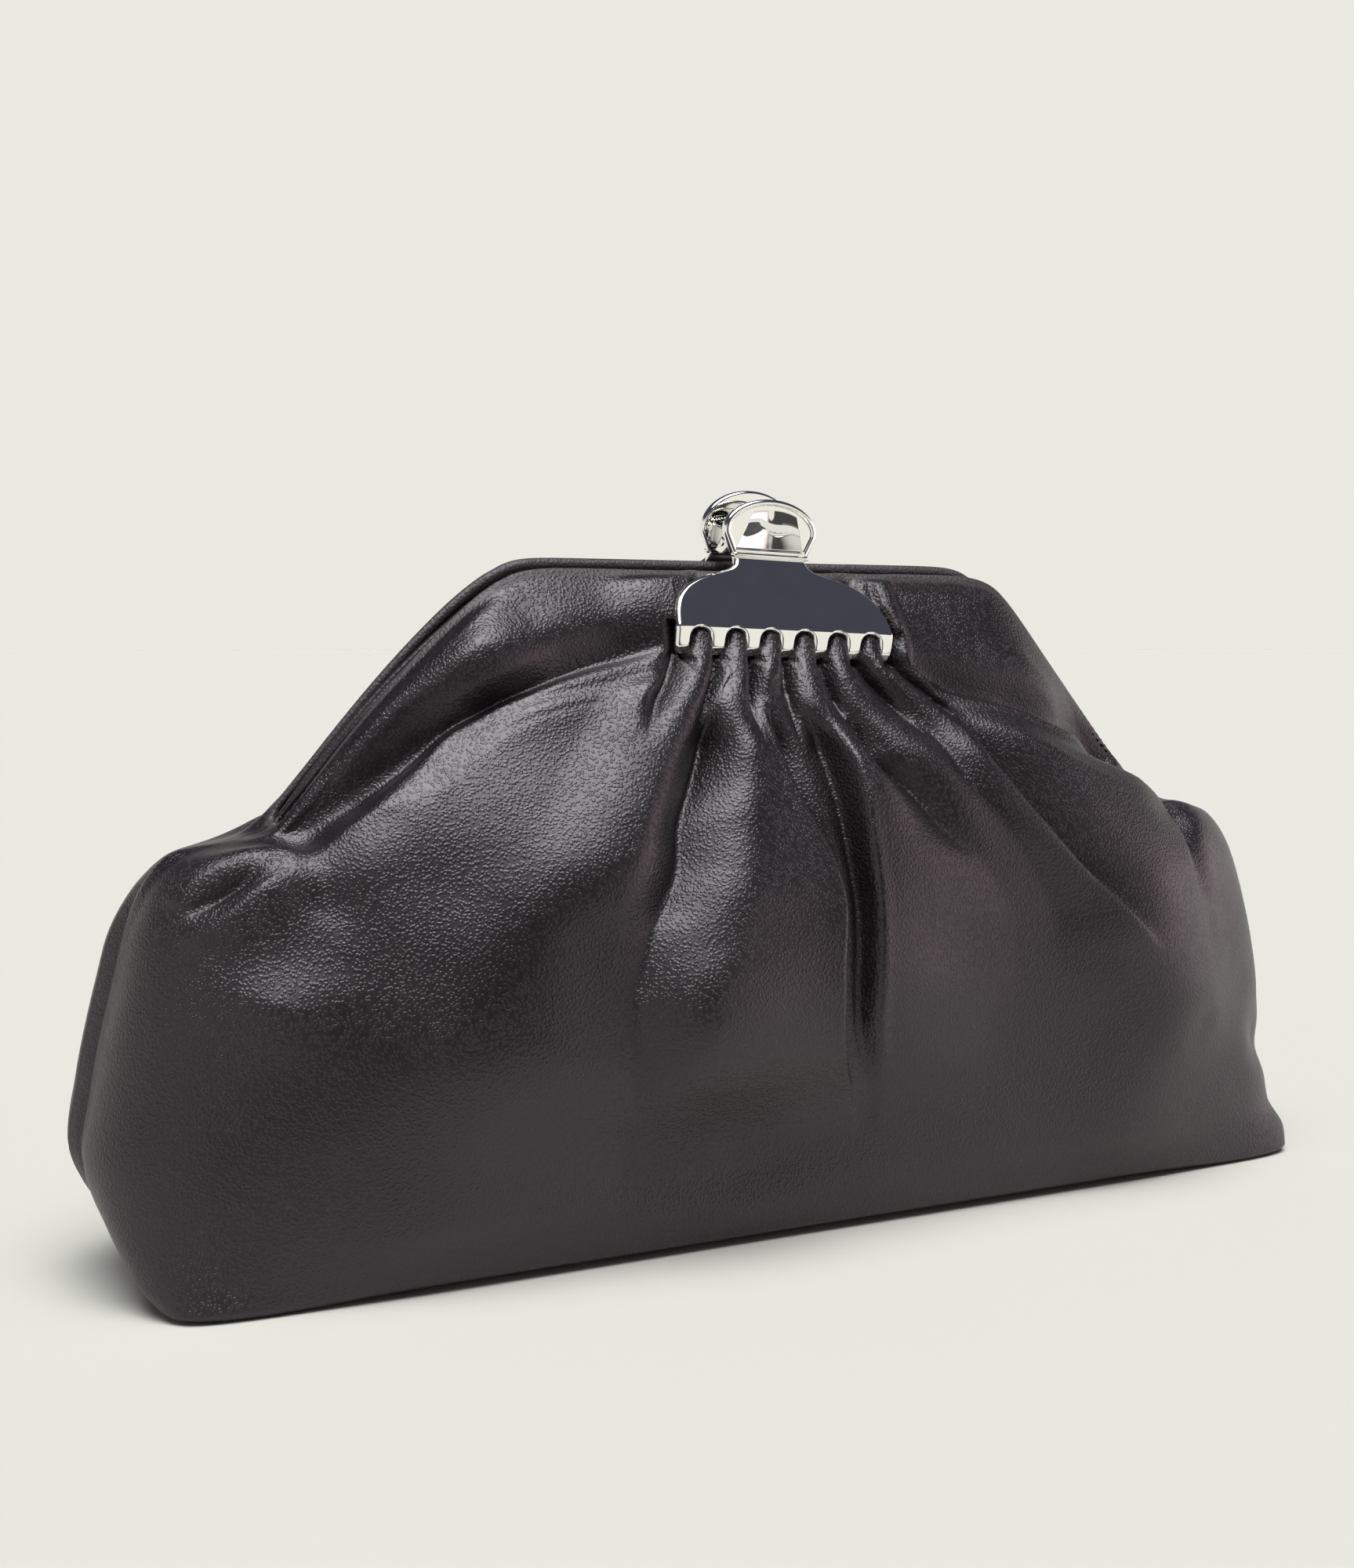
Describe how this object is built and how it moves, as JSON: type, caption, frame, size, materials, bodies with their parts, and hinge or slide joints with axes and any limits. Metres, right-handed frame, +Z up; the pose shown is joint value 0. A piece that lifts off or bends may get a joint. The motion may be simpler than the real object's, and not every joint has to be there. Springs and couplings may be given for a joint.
{
  "type": "framed pouch clutch bag",
  "caption": "Soft black leather framed pouch clutch with a flat boxed base, gathered front and a polished metal claw clip that clamps the frame shut.",
  "frame": {"origin": "on the floor, below the middle of the box round the bag", "axes": "+X along the bag's width, -Y the front with the clip's shown face, +Z up"},
  "size_m": [0.323, 0.0926, 0.1747],
  "materials": {
    "leather": "semi-gloss fine grained",
    "leather_trim": "semi-gloss, wrapped tight",
    "nickel": "polished nickel plate",
    "spring_steel": "plain wire"
  },
  "bodies": {
    "bag": {"front_panel": "leather", "back_panel": "leather", "frame_front": "leather_trim", "frame_back": "leather_trim", "clip_front": "nickel", "clip_pin": "nickel", "clip_spring": "spring_steel"},
    "clip_lever": {"clip_back": "nickel"}
  },
  "joints": [
    {"name": "clip_hinge", "type": "hinge", "parent": "bag", "child": "clip_lever", "pos_m": [0, -0.00702, 0.163], "axis": [0.9994, 0, -0.0349], "range_deg": [0, 35], "stiffness_Nm_per_rad": 0.08, "springref_deg": -45.84}
  ]
}
